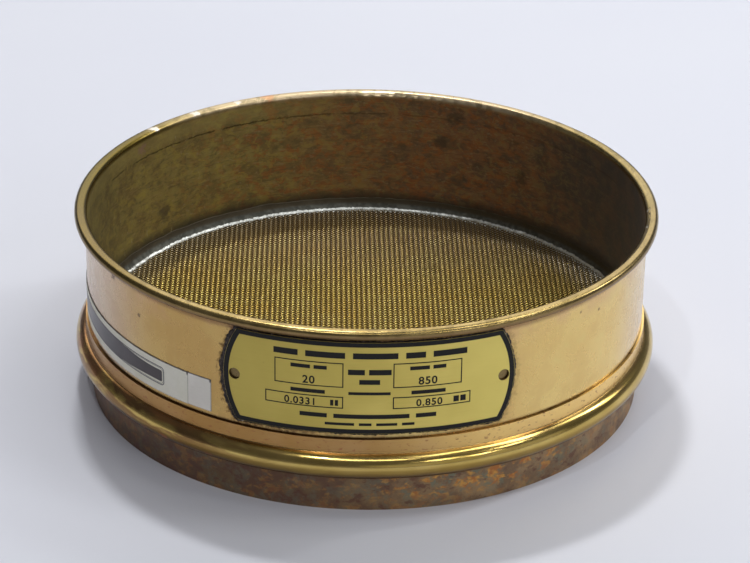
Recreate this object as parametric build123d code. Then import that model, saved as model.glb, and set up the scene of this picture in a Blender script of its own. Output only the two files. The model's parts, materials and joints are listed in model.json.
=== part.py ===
"""Eight-inch brass test sieve, standing on its skirt.

Millimetres, +Z up. The origin is the centre of the skirt's lower edge, and the
nameplate faces -Y. Every ring is a spun or drawn sheet, so its section is drawn
as a skin with a thickness and turned once round the Z axis.
"""
import os
from math import degrees, floor, sin, sqrt
from build123d import *

# ---- upper shell ----
bore_radius = 101.6            # inside of the shell: an eight-inch sieve
shell_wall = 0.8               # sheet thickness
rim_to_cloth = 50.8            # top of the rim down to the middle of the cloth: two inches
roll_width = 4.6               # rolled rim, across
roll_height = 3.4              # rolled rim, top to bottom
roll_tuck = 0.9                # the roll's end runs back this far towards the shell
foot_taper = 0.15              # the shell's foot is filed this much thinner under the solder

# ---- lower ring ----
ring_wall = 0.8                # sheet thickness
nesting_clearance = 0.1        # skirt to the bore of the sieve or pan below
collar_clearance = 0.05        # collar to the upper shell
collar_height = 5.4            # collar above the bead
bead_height = 18.3             # middle of the bead above the floor
bead_radius = 4.9              # half-round of the bead, outside
bead_reach = 5.55              # the bead's crown stands this far out from the skirt
crease_radius = 0.5            # bend between the bead and its neighbours

# ---- wire cloth ----
cloth_height = 19.8            # middle of the cloth above the floor
wire_diameter = 0.51
weave_angle = 45.0             # the wires run at this angle to the nameplate
ridge_pitch = 17.0             # one ridge of the weave to the next
ridge_width = 4.6
selvage_width = 3.8            # closed edge of the cloth, inside the shell
cloth_tuck = 0.7               # the cloth reaches this far past the outside of the shell

# ---- solder at the cloth ----
fillet_height = 4.4            # up the inside of the shell, above the cloth
fillet_width = 2.6             # in over the cloth
underside_width = 1.9          # in under the cloth, from the skirt
underside_root = 1.2           # out under the cloth, past the inside of the skirt
underside_grip = 3.0           # down the inside of the skirt, below the bead's hollow
slope_hollow = 0.35            # depth of the hollow in both slopes

# ---- nameplate ----
plate_lift = 2.33              # lower edge above the collar
plate_height = 34.6
plate_length = 102.8           # along the curve, between the crowns of its ends
plate_end_bulge = 5.2          # crown of each end past the corners
plate_wall = 0.6
plate_hole_diameter = 4.2
plate_hole_inset = 4.2         # middle of each hole, back from the crown of its end
bed_wall = 0.16                # solder between the nameplate and the shell
bed_fit = 0.02                 # hairline on each face of that solder
bed_margin = 1.2               # solder that shows round the nameplate

# ---- paper strips ----
strip_width = 12.4
strip_wall = 0.1
strip_glue = 0.02              # glue between a strip and what it is stuck on
strip_lift = 2.03              # lower edge above the collar, at the middle of a strip
strip_tilt = -0.2              # degrees out of level
strip_length = 140.0           # of each strip, along the curve
strip_start = 66.2             # end of the upper strip, along the curve from the nameplate's middle
understrip_start = 56.5        # end of the strip below it

# ---- sizes that follow ----
shell_radius = bore_radius + shell_wall
rim_top = cloth_height + rim_to_cloth
cloth_top = cloth_height + wire_diameter
cloth_bottom = cloth_height - wire_diameter
solder_top = cloth_top + fillet_height
cloth_radius = shell_radius + cloth_tuck
skirt_radius = bore_radius - nesting_clearance
skirt_bore = skirt_radius - ring_wall
collar_bore = shell_radius + collar_clearance
collar_radius = collar_bore + ring_wall
bead_crown = skirt_radius + bead_reach
bead_centre = bead_crown - bead_radius
bed_bore = shell_radius + bed_fit
bed_radius = bed_bore + bed_wall
plate_bore = bed_radius + bed_fit
plate_radius = plate_bore + plate_wall
plate_hole_spacing = plate_length - 2 * plate_hole_inset


def bead_half_height(radius, bend):
    """Height above the bead's middle at which its round, of this bend, crosses a radius."""
    return sqrt(bend ** 2 - (radius - bead_centre) ** 2)


hollow_radius = bead_radius - ring_wall
bead_top = bead_height + bead_half_height(collar_radius, bead_radius)
bead_bottom = bead_height - bead_half_height(skirt_radius, bead_radius)
hollow_top = bead_height + bead_half_height(collar_bore, hollow_radius)
hollow_bottom = bead_height - bead_half_height(skirt_bore, hollow_radius)
collar_top = bead_top + collar_height
plate_middle = collar_top + plate_lift + plate_height / 2
strip_middle = collar_top + strip_lift + strip_width / 2


def turned(outline):
    """A drawn outline, across for radius and up for height, turned once round the Z axis."""
    return revolve(Plane.XZ * outline, axis=Axis.Z, revolution_arc=360)


def corner(outline, radius, height):
    """The corner of an outline that lies nearest this radius and height."""
    return outline.vertices().sort_by_distance((radius, height, 0))[0]


def tube(inner, outer, low, high):
    """A plain ring between two radii and two heights."""
    with BuildSketch() as ring:
        Circle(outer)
        Circle(inner, mode=Mode.SUBTRACT)
    return Pos(0, 0, low) * extrude(ring.sketch, high - low)


def across(arc, radius):
    """Sideways distance of a point that lies this far along a curve of this radius."""
    return radius * sin(arc / radius)


def upper_shell():
    """The drawn shell, its rim rolled out over a flattened half turn and tucked back."""
    outer_bend = roll_height / 2
    inner_bend = outer_bend - shell_wall
    roll_middle = rim_top - outer_bend
    near = bore_radius + outer_bend
    far = bore_radius + roll_width - outer_bend
    end = far - roll_tuck
    under = rim_top - roll_height
    foot = (bore_radius + foot_taper, cloth_top)
    with BuildSketch() as skin:
        with BuildLine():
            Line((bore_radius, solder_top), (bore_radius, roll_middle))
            CenterArc((near, roll_middle), outer_bend, 90, 90)
            Line((near, rim_top), (far, rim_top))
            CenterArc((far, roll_middle), outer_bend, -90, 180)
            Polyline((far, under), (end, under), (end, under + shell_wall), (far, under + shell_wall))
            CenterArc((far, roll_middle), inner_bend, -90, 180)
            Line((far, rim_top - shell_wall), (near, rim_top - shell_wall))
            CenterArc((near, roll_middle), inner_bend, 90, 90)
            Polyline((shell_radius, roll_middle), (shell_radius, cloth_top), foot, (bore_radius, solder_top))
        make_face()
    return turned(skin.sketch)


def lower_ring():
    """Collar, hollow bead and skirt, spun from one sheet."""
    with BuildSketch() as skin:
        with BuildLine():
            Line((collar_radius, collar_top), (collar_radius, bead_top))
            ThreePointArc((collar_radius, bead_top), (bead_crown, bead_height), (skirt_radius, bead_bottom))
            Polyline((skirt_radius, bead_bottom), (skirt_radius, 0), (skirt_bore, 0), (skirt_bore, hollow_bottom))
            ThreePointArc((skirt_bore, hollow_bottom), (bead_crown - ring_wall, bead_height), (collar_bore, hollow_top))
            Polyline((collar_bore, hollow_top), (collar_bore, collar_top), (collar_radius, collar_top))
        make_face()
        outer_creases = [corner(skin, collar_radius, bead_top), corner(skin, skirt_radius, bead_bottom)]
        fillet(outer_creases, crease_radius)
        inner_creases = [corner(skin, collar_bore, hollow_top), corner(skin, skirt_bore, hollow_bottom)]
        fillet(inner_creases, crease_radius + ring_wall)
    return turned(skin.sketch)


def wire_cloth():
    """The woven disc: ridges one way on top and the other way below, with square gaps between."""
    open_radius = bore_radius - selvage_width
    reach = floor(open_radius / ridge_pitch)
    offsets = [(0, step * ridge_pitch) for step in range(-reach, reach + 1)]
    with BuildSketch() as ridges:
        with Locations(*offsets):
            Rectangle(2 * cloth_radius, ridge_width)
        Circle(cloth_radius, mode=Mode.INTERSECT)
    below = Pos(0, 0, cloth_bottom) * extrude(ridges.sketch, wire_diameter)
    above = Pos(0, 0, cloth_height) * extrude(Rot(0, 0, 90) * ridges.sketch, wire_diameter)
    selvage = tube(open_radius, cloth_radius, cloth_bottom, cloth_top)
    return Rot(0, 0, weave_angle) * (selvage + below + above)


def slope(start, finish, hollow):
    """A hollow solder slope: an arc that sags to the left of the line from start to finish."""
    run = Vector(*finish) - Vector(*start)
    middle = Vector(*start) + run * 0.5
    left = Vector(-run.Y, run.X).normalized()
    return ThreePointArc(start, middle + left * hollow, finish)


def solder_joint():
    """The solder that holds the cloth, a fillet above it and one below, which meet through its gaps."""
    top = (bore_radius, solder_top)
    toe = (bore_radius - fillet_width, cloth_top)
    with BuildSketch() as upper:
        with BuildLine():
            slope(top, toe, slope_hollow)
            Polyline(toe, (bore_radius + foot_taper, cloth_top), top)
        make_face()
    grip_foot = (skirt_bore, hollow_bottom - underside_grip)
    under_toe = (skirt_bore - underside_width, cloth_bottom)
    root = (skirt_bore + underside_root, cloth_bottom)
    with BuildSketch() as lower:
        with BuildLine():
            slope(under_toe, grip_foot, slope_hollow)
            Polyline(grip_foot, (skirt_bore, hollow_bottom), root, under_toe)
        make_face()
    return Compound([turned(upper.sketch).solid(), turned(lower.sketch).solid()])


def plate_block(grow):
    """The nameplate's outline, grown on every side, carried forward past the shell."""
    half_height = plate_height / 2 + grow
    crown = across(plate_length / 2 + grow, plate_radius)
    shoulder = across(plate_length / 2 - plate_end_bulge + grow, plate_radius)
    top = plate_middle + half_height
    foot = plate_middle - half_height
    with BuildSketch() as outline:
        with BuildLine():
            Line((-shoulder, top), (shoulder, top))
            ThreePointArc((shoulder, top), (crown, plate_middle), (shoulder, foot))
            Line((shoulder, foot), (-shoulder, foot))
            ThreePointArc((-shoulder, foot), (-crown, plate_middle), (-shoulder, top))
        make_face()
    return extrude(Plane.XZ * outline.sketch, 2 * plate_radius)


def plate_holes():
    """The two punched holes, square to the curve."""
    turn = degrees(plate_hole_spacing / 2 / plate_radius)
    drill = Plane.XZ * extrude(Circle(plate_hole_diameter / 2), 2 * plate_radius)
    return [Rot(0, 0, side * turn) * Pos(0, 0, plate_middle) * drill for side in (-1, 1)]


def on_the_shell(block, inner, outer):
    """The part of a block that lies between two radii."""
    box = block.bounding_box()
    return block & tube(inner, outer, box.min.Z, box.max.Z)


def nameplate():
    """Thin brass plate with crowned ends, bent to the shell."""
    return on_the_shell(plate_block(0), plate_bore, plate_radius) - plate_holes()


def nameplate_solder():
    """The solder that the nameplate lies on, proud of its edge all round."""
    return on_the_shell(plate_block(bed_margin), bed_bore, bed_radius) - plate_holes()


def strip(start, radius):
    """A paper strip of one thickness, stuck round the shell from its start away from the nameplate."""
    half_turn = strip_length / 2 / shell_radius
    turn = degrees(start / shell_radius + half_turn)
    with BuildSketch() as cut:
        Rectangle(2 * across(strip_length / 2, shell_radius), strip_width, rotation=strip_tilt)
    block = Pos(0, 0, strip_middle) * extrude(Plane.XZ * cut.sketch, 2 * shell_radius)
    return Rot(0, 0, -turn) * on_the_shell(block, radius, radius + strip_wall)


def label_understrip():
    """The older strip, stuck to the shell."""
    return strip(understrip_start, shell_radius + strip_glue)


def label_strip():
    """The newer strip, stuck over the older one and short of its end."""
    return strip(strip_start, shell_radius + 2 * strip_glue + strip_wall)


BUILDERS = {
    "upper_shell": upper_shell,
    "lower_ring": lower_ring,
    "wire_cloth": wire_cloth,
    "solder_joint": solder_joint,
    "nameplate": nameplate,
    "nameplate_solder": nameplate_solder,
    "label_understrip": label_understrip,
    "label_strip": label_strip,
}


def main():
    os.makedirs("parts", exist_ok=True)
    for name, build in BUILDERS.items():
        export_step(build(), f"parts/{name}.step")


main()
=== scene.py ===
"""Looks of the eight-inch brass test sieve: woven wire, uneven solder, print, tarnish and worn brass."""
import json
from math import atan2, ceil, cos, hypot, pi, radians, sin, sqrt
import bpy
import numpy as np
from mathutils import Matrix, Vector, noise


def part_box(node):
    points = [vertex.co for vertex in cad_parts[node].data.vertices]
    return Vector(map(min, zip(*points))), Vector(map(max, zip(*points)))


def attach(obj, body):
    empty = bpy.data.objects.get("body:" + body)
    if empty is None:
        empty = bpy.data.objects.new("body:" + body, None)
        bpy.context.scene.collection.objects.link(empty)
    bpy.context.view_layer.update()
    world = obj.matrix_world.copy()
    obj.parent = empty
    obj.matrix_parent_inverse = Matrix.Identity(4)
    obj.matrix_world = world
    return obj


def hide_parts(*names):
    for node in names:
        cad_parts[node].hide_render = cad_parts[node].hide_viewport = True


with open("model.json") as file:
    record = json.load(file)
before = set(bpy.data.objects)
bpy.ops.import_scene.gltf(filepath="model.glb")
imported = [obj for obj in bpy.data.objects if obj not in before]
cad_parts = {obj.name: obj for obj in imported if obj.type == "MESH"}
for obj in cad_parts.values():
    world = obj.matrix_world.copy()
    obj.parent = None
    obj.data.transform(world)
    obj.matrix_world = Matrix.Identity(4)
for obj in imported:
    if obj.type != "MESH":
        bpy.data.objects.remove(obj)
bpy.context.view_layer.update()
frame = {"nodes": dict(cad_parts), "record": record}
nodes = frame["nodes"]
mm = 0.001

# ---- sizes read from the frame ----
mount_radius = {mount["name"]: mount["dims"].get("r_mm", 0) * mm for mount in frame["record"]["mounts"]}
bore_radius = mount_radius["top_socket"]
skirt_radius = mount_radius["skirt_spigot"]
rim_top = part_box("upper_shell")[1].z
collar_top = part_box("lower_ring")[1].z
cloth_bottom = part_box("wire_cloth")[0].z
cloth_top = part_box("wire_cloth")[1].z
cloth_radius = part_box("wire_cloth")[1].x
solder_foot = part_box("solder_joint")[0].z
solder_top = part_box("solder_joint")[1].z
plate_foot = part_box("nameplate")[0].z
plate_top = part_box("nameplate")[1].z
plate_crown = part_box("nameplate")[1].x
plate_radius = -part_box("nameplate")[0].y
cloth_height = (cloth_bottom + cloth_top) / 2
plate_middle = (plate_foot + plate_top) / 2
plate_half = (plate_top - plate_foot) / 2

# ---- sheet and wire ----
shell_wall = 0.8 * mm
shell_radius = bore_radius + shell_wall
skirt_bore = skirt_radius - shell_wall
wire_radius = (cloth_top - cloth_bottom) / 4
wire_pitch = 1.36 * mm
wire_sides = 5
wire_swell = 1.06
weave_angle = radians(45)

# ---- solder rings ----
upper_toe = 99.35 * mm
lower_toe = skirt_bore - 1.9 * mm
skirt_grip = 14.4 * mm
upper_segments = 1200
lower_segments = 720

# ---- nameplate and its print, along the curve and up from the plate's middle ----
plate_shoulder = 44.7 * mm
border_width = 1.7 * mm
hole_reach = 46.8 * mm
print_rise = 0.03 * mm
print_sink = 0.03 * mm
print_shift = -0.45 * mm
print_column = 1.6 * mm
numeral_spacing = 1.12
numeral_weight = 0.022
line_width = 0.38 * mm
box_inner = 8.35 * mm
upper_box = (32.0 * mm, 0.2 * mm, 9.5 * mm)
lower_box = (35.3 * mm, -7.8 * mm, -3.3 * mm)
# Lines of words as bars, in millimetres: middle, width, low, high, shares of the width, gap.
word_lines = (
    (0.2, 66, 11.2, 13.4, (5, 8, 9, 4, 7), 2.6),
    (0, 14.6, 5.2, 7.2, (3, 4), 1.4),
    (0, 7, 1.6, 3.4, (1,), 0),
    (0, 14.2, -2.4, -1.3, (1,), 0),
    (-0.4, 46.5, -11.5, -9.9, (4, 11, 3), 2.2),
    (0.2, 30.4, -14.2, -13.2, (7, 3, 5, 3), 1.6),
)

# ---- paper strips ----
paper_radius = shell_radius + 0.24 * mm
strip_middle = 36.7 * mm
strip_half = 6.2 * mm
strip_tilt = radians(-0.2)
strip_start = 66.2 * mm
understrip_start = 56.5 * mm
strip_length = 140 * mm
window_start = 78.7 * mm
window_length = 116 * mm
field_narrow = 2.15 * mm
field_wide = 3.45 * mm
outline_half = 3.55 * mm
end_step = 0.15 * mm
long_step = 1.5 * mm

# ---- marks on the shell, in millimetres: x, y, z and size, where they were measured in the photograph ----
wall_stains = ((-77.7, 65.5, 34.4, 2.6), (37.1, 94.6, 63.2, 2.6), (30.7, 96.8, 51.0, 2.4),
               (62, 80.5, 43, 2.2))
wall_smear = (-85.3, 55.2, 65.5, 1.8)
rim_pale_spots = ((101.6, -7.8, 70.6, 0.8), (99.5, -21.5, 70.6, 0.8), (-82, 64, 70.6, 1.8), (-66, 79, 70.6, 1.4),
             (-50, 90.5, 70.6, 1.2))
rim_smear = (-38, 96, 70.6, 2.2)
body_marks = ((-89, -50.7, 64, 1.5), (79.8, -64.2, 58.8, 0.5), (72.8, -72, 61.6, 0.4),
              (-79.3, -64.8, 55.8, 0.7))

# ---- where one finish gives way to another, in millimetres ----
wall_inner = bore_radius / mm
wall_outer = shell_radius / mm
skirt_face = skirt_radius / mm
rim_height = rim_top / mm
roll_foot = rim_height - 3.5
wear_height = 61.5
solder_shade = 27
skirt_top = 13.9
bead_shoulder = 18.5
collar_foot = 23.1

# ---- studio, in metres ----
floor_half = 4.0
light_distance = 1.6
aim_height = 0.04


def over_curve(arc, z, radius):
    """The point this far along the curve from the middle of the nameplate, on a cylinder round the axis."""
    turn = arc / radius
    return radius * sin(turn), -radius * cos(turn), z


def make_piece(name, points, faces, smooth=True):
    """A mesh piece that rides on the sieve."""
    mesh = bpy.data.meshes.new(name)
    mesh.from_pydata([tuple(p) for p in points], [], [tuple(f) for f in faces])
    mesh.validate()
    mesh.update()
    if smooth:
        mesh.shade_smooth()
    piece = bpy.data.objects.new(name, mesh)
    bpy.context.scene.collection.objects.link(piece)
    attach(piece, "root")
    return piece


def ring_faces(loops, size, start=0):
    """Quads between closed loops of this many points each, from the last loop back to the first."""
    faces = []
    for i in range(loops):
        here = start + i * size
        there = start + (i + 1) % loops * size
        for k in range(size):
            after = (k + 1) % size
            faces.append((here + k, there + k, there + after, here + after))
    return faces


def add_ribbon(points, faces, columns, low_radius, high_radius):
    """Adds a closed flat form, bent round the axis. Its columns are (arc, low z, high z)."""
    start = len(points)
    for arc, low, high in columns:
        for radius in (low_radius, high_radius):
            points.append(over_curve(arc, low, radius))
            points.append(over_curve(arc, high, radius))
    end = start + 4 * (len(columns) - 1)
    for a in range(start, end, 4):
        b = a + 4
        faces.extend([(a, a + 1, b + 1, b), (a + 2, b + 2, b + 3, a + 3),
                      (a, b, b + 2, a + 2), (a + 1, a + 3, b + 3, b + 1)])
    faces.append((start, start + 2, start + 3, start + 1))
    faces.append((end, end + 1, end + 3, end + 2))


# ======== woven wire ========

def wires(across_index, half):
    """Half of the wires of one direction, woven over and under the others, as points and faces."""
    count = int(cloth_radius / wire_pitch)
    along = Vector((cos(weave_angle), sin(weave_angle), 0))
    if across_index:
        along = Vector((-along.y, along.x, 0))
    side = Vector((-along.y, along.x, 0))
    section_radius = wire_radius * wire_swell
    spin = [2 * pi * k / wire_sides + pi / 2 for k in range(wire_sides)]
    points = []
    faces = []
    for index in range(-count, count + 1):
        if (index >= 0) != half:
            continue
        offset = (index + 0.5) * wire_pitch
        if abs(offset) >= cloth_radius:
            continue
        reach = sqrt(cloth_radius ** 2 - offset ** 2)
        steps = int(2 * reach / wire_pitch)
        start = len(points) // wire_sides
        rings = 0
        for step in range(-steps, steps + 1):
            t = step * wire_pitch / 2
            if abs(t) > reach:
                continue
            phase = pi * (t / wire_pitch - 0.5)
            sign = 1 if index % 2 == 0 else -1
            z = cloth_height + sign * wire_radius * cos(phase)
            slope = -sign * wire_radius * pi / wire_pitch * sin(phase)
            lean = atan2(slope, 1)
            up = Vector((-along.x * sin(lean), -along.y * sin(lean), cos(lean)))
            middle = along * t + side * offset + Vector((0, 0, z))
            for a in spin:
                points.append(middle + side * (section_radius * cos(a)) + up * (section_radius * sin(a)))
            rings += 1
        for ring in range(rings - 1):
            base = (start + ring) * wire_sides
            for k in range(wire_sides):
                after = (k + 1) % wire_sides
                faces.append((base + k, base + wire_sides + k, base + wire_sides + after, base + after))
        last = (start + rings - 1) * wire_sides
        faces.append(tuple(start * wire_sides + k for k in range(wire_sides)))
        faces.append(tuple(last + wire_sides - 1 - k for k in range(wire_sides)))
    return points, faces


def weave():
    """The cloth, as four pieces: each direction of wire in two halves."""
    pieces = []
    for across_index in (0, 1):
        for half in (False, True):
            points, faces = wires(across_index, half)
            name = f"cloth_{'weft' if across_index else 'warp'}_{'far' if half else 'near'}"
            piece = make_piece(name, points, faces)
            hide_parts("wire_cloth")
            flat_map(piece)
            pieces.append(piece)
    return pieces


def flat_map(piece):
    """A plain map of the piece from above, because its finish changes only across the disc."""
    mesh = piece.data
    layer = mesh.uv_layers.new(name="OFBake")
    places = np.empty(len(mesh.vertices) * 3)
    mesh.vertices.foreach_get("co", places)
    corner = np.empty(len(mesh.loops), dtype=np.int32)
    mesh.loops.foreach_get("vertex_index", corner)
    flat = places.reshape(-1, 3)[corner, :2] / (2 * cloth_radius) + 0.5
    layer.data.foreach_set("uv", flat.ravel())


# ======== solder ========

def lathe(name, section, segments):
    """A closed ring: section(turn) gives its outline as (radius, height) at each turn round the axis."""
    points = []
    for i in range(segments):
        turn = 2 * pi * i / segments
        for radius, height in section(turn):
            points.append((radius * cos(turn), radius * sin(turn), height))
    return make_piece(name, points, ring_faces(segments, len(points) // segments))


def rough(turn, radius, height, wavelength, seed):
    """Smooth seeded unevenness round a ring, between about -1 and 1."""
    place = Vector((radius * cos(turn), radius * sin(turn), height)) / wavelength
    return noise.noise(place + Vector((seed * 17.3, seed * 5.1, seed * 9.7)))


def upper_section(turn):
    """The fillet above the cloth, wider on the left, with a toe that wicks out between the wires."""
    toe_radius = upper_toe + 0.75 * mm * cos(turn)
    toe_radius += 0.45 * mm * rough(turn, bore_radius, 0, 14 * mm, 1)
    toe_radius += 0.42 * mm * rough(turn, bore_radius, 0, 1.9 * mm, 2)
    top = solder_top + 0.45 * mm * rough(turn, bore_radius, 0, 9 * mm, 3)
    sag = 0.35 * mm + 0.12 * mm * rough(turn, bore_radius, 0, 6 * mm, 4)
    foot = cloth_top - 0.05 * mm
    run = Vector((toe_radius - bore_radius, foot - top))
    left = Vector((run.y, -run.x)).normalized()
    outline = []
    steps = 12
    for k in range(steps + 1):
        u = k / steps
        lump = 0.09 * mm * rough(turn, bore_radius - 3 * mm * u, 4 * mm * u, 2.6 * mm, 5)
        dip = (sag * 4 * u * (1 - u)) - lump * sin(pi * u)
        spot = Vector((bore_radius, top)) + run * u
        outline.append((spot.x - left.x * dip, spot.y - left.y * dip))
    outline.append((toe_radius - 0.1 * mm, cloth_height))
    outline.append((bore_radius, cloth_height))
    outline.append((bore_radius + 0.12 * mm, cloth_top))
    return outline


def lower_section(turn):
    """The fillet under the cloth, which grips the inside of the skirt."""
    toe = lower_toe + 0.5 * mm * rough(turn, skirt_bore, 0, 8 * mm, 6)
    grip = solder_foot + 0.6 * mm * (1 + rough(turn, skirt_bore, 0, 7 * mm, 7))
    outline = []
    steps = 8
    for k in range(steps + 1):
        u = k / steps
        sag = 0.35 * mm * 4 * u * (1 - u)
        height = cloth_bottom + (grip - cloth_bottom) * u + sag * 0.3
        outline.append((toe + (skirt_bore - toe) * u + sag, height))
    outline.append((skirt_bore, skirt_grip))
    outline.append((skirt_bore + 1.2 * mm, cloth_bottom))
    outline.append((skirt_bore + 1.0 * mm, cloth_height))
    outline.append((toe + 0.1 * mm, cloth_height))
    return outline


def solder_rings():
    """The solder above the cloth and below it."""
    upper = lathe("solder_fillet", upper_section, upper_segments)
    lower = lathe("solder_underside", lower_section, lower_segments)
    for piece in (upper, lower):
        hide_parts("solder_joint")
    return [upper, lower]


# ======== nameplate ========

def end_circle():
    """Centre and radius of the arc that ends the nameplate."""
    rise = plate_crown - plate_shoulder
    radius = (plate_half ** 2 + rise ** 2) / (2 * rise)
    return plate_crown - radius, radius


def plate_outline(inset, step=0.8 * mm):
    """The plate's outline seen square on, this far inside its edge, anticlockwise from the lower right."""
    centre, radius = end_circle()
    radius -= inset
    half = plate_half - inset
    shoulder = centre + sqrt(radius ** 2 - half ** 2)
    swing = atan2(half, shoulder - centre)
    count = ceil(2 * swing * radius / step)
    right = []
    for k in range(count + 1):
        a = -swing + 2 * swing * k / count
        right.append((centre + radius * cos(a), radius * sin(a)))
    across_count = ceil(2 * shoulder / step)
    top = [(shoulder - 2 * shoulder * k / across_count, half) for k in range(1, across_count)]
    left = [(-x, -z) for x, z in right]
    bottom = [(-x, -z) for x, z in top]
    return right + top + left + bottom


def onto_plate(x, z, radius):
    """A point of the flat outline, laid on the curve."""
    return x, -sqrt(radius ** 2 - x ** 2), plate_middle + z


def plate_ring(name, loops):
    """A closed ring round the plate. Each of its loops is (outline, radius)."""
    points = []
    for outline, radius in loops:
        for x, z in outline:
            points.append(onto_plate(x, z, radius))
    return make_piece(name, points, ring_faces(len(loops), len(loops[0][0])), smooth=False)


def resampled(outline, count):
    """The same closed outline with this many points, evenly spaced."""
    closed = outline + outline[:1]
    lengths = [0.0]
    for (x0, z0), (x1, z1) in zip(closed, closed[1:]):
        lengths.append(lengths[-1] + hypot(x1 - x0, z1 - z0))
    spots = np.linspace(0, lengths[-1], count, endpoint=False)
    xs = np.interp(spots, lengths, [p[0] for p in closed])
    zs = np.interp(spots, lengths, [p[1] for p in closed])
    return list(zip(xs, zs))


def print_border():
    """The black border, a raised band of enamel round the plate's edge."""
    count = 480
    outer = resampled(plate_outline(0.06 * mm), count)
    inner = resampled(plate_outline(border_width), count)
    low = plate_radius - 0.05 * mm
    high = plate_radius + print_rise
    loops = [(outer, low), (outer, high), (inner, high), (inner, low)]
    return plate_ring("print_border", loops)


def plate_solder():
    """The solder and dirt that ooze out round the plate, thick on the left and thin elsewhere."""
    count = 900
    edge = resampled(plate_outline(0), count)
    inside = resampled(plate_outline(2 * mm), count)
    widths = []
    for x, z in edge:
        left = max(0, -x / plate_crown) ** 6
        bottom = max(0, -z / plate_half) ** 6
        base = 0.45 * mm + 0.75 * mm * left + 0.25 * mm * bottom
        place = Vector((x, 0, z))
        base += 0.4 * mm * noise.noise(place / (5 * mm)) * (1 + left)
        base += 0.4 * mm * noise.noise(place / (0.9 * mm) + Vector((3, 1, 4)))
        widths.append(max(0.15 * mm, base))
    centre = end_circle()[0]

    def grown(share):
        """The edge pushed out by this share of each width."""
        outline = []
        for (x, z), width in zip(edge, widths):
            if abs(x) > plate_shoulder + 0.2 * mm:
                away = Vector((abs(x) - centre, z)).normalized()
                side = 1 if x > 0 else -1
                outline.append((x + side * away.x * width * share, z + away.y * width * share))
            else:
                outline.append((x, z + (1 if z > 0 else -1) * width * share))
        return outline

    loops = [(inside, shell_radius), (inside, shell_radius + 0.18 * mm)]
    for share, rise in ((0.03, 0.45 * mm), (0.4, 0.26 * mm), (0.75, 0.12 * mm), (1, 0)):
        loops.append((grown(share), shell_radius + rise))
    piece = plate_ring("plate_solder_bead", loops)
    piece.data.shade_smooth()
    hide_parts("nameplate_solder")
    return piece


def add_print(points, faces, shapes):
    """Adds printed rectangles (low arc, high arc, low z, high z), curved with the plate."""
    for low_arc, high_arc, low_z, high_z in shapes:
        count = max(1, ceil((high_arc - low_arc) / print_column))
        columns = []
        for k in range(count + 1):
            arc = low_arc + (high_arc - low_arc) * k / count
            columns.append((arc, plate_middle + low_z, plate_middle + high_z))
        add_ribbon(points, faces, columns, plate_radius - print_sink, plate_radius + print_rise)


def frame_lines(low_arc, high_arc, low_z, high_z):
    """The four thin lines of a printed box."""
    floor = low_z + line_width
    ceiling = high_z - line_width
    return [(low_arc, high_arc, low_z, floor), (low_arc, high_arc, ceiling, high_z),
            (low_arc, low_arc + line_width, floor, ceiling),
            (high_arc - line_width, high_arc, floor, ceiling)]


def word_bars(centre, width, low_z, high_z, words, gap):
    """A line of words as plain bars: one bar a word, of these shares of the width."""
    total = sum(words)
    room = width - gap * (len(words) - 1)
    bars = []
    arc = centre - width / 2
    for share in words:
        length = room * share / total
        bars.append((arc, arc + length, low_z, high_z))
        arc += length + gap
    return bars


def print_lines():
    """Boxes and word bars in black enamel."""
    shapes = []
    for side in (-1, 1):
        for outer, low_z, high_z in (upper_box, lower_box):
            low, high = sorted((side * box_inner, side * outer))
            shapes += frame_lines(low + print_shift, high + print_shift, low_z, high_z)
        upper_middle = print_shift + side * (box_inner + upper_box[0]) / 2
        lower_middle = print_shift + side * (box_inner + lower_box[0]) / 2
        shapes += word_bars(upper_middle, 12.4 * mm, 6.7 * mm, 8.1 * mm, (3, 2), 1.2 * mm)
        shapes += word_bars(upper_middle + side * 0.3 * mm, 11.8 * mm, -2.5 * mm, -1.1 * mm, (1,), 0)
        unit_place = lower_middle + (10.4 if side < 0 else 9.6) * mm
        unit_width = 2.7 * mm if side < 0 else 4.4 * mm
        shapes += word_bars(unit_place, unit_width, -6.8 * mm, -4.6 * mm, (1, 1), 0.5 * mm)
    for middle, width, low_z, high_z, words, gap in word_lines:
        shapes += word_bars(middle * mm, width * mm, low_z * mm, high_z * mm, words, gap * mm)
    points = []
    faces = []
    add_print(points, faces, shapes)
    return make_piece("print_lines", points, faces, smooth=False)


def numeral_mesh(text, height):
    """Flat numerals of this height, centred, as points and triangles."""
    curve = bpy.data.curves.new("numeral", "FONT")
    curve.body = text
    curve.align_x = "CENTER"
    curve.space_character = numeral_spacing
    curve.offset = numeral_weight
    holder = bpy.data.objects.new("numeral", curve)
    bpy.context.scene.collection.objects.link(holder)
    bpy.context.view_layer.update()
    flat = holder.evaluated_get(bpy.context.evaluated_depsgraph_get()).to_mesh()
    points = np.array([v.co[:2] for v in flat.vertices])
    faces = [tuple(p.vertices) for p in flat.polygons]
    bpy.data.objects.remove(holder)
    bpy.data.curves.remove(curve)
    low = points[:, 1].min()
    scale = height / (points[:, 1].max() - low)
    points[:, 1] -= low
    return points * scale, faces


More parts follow.
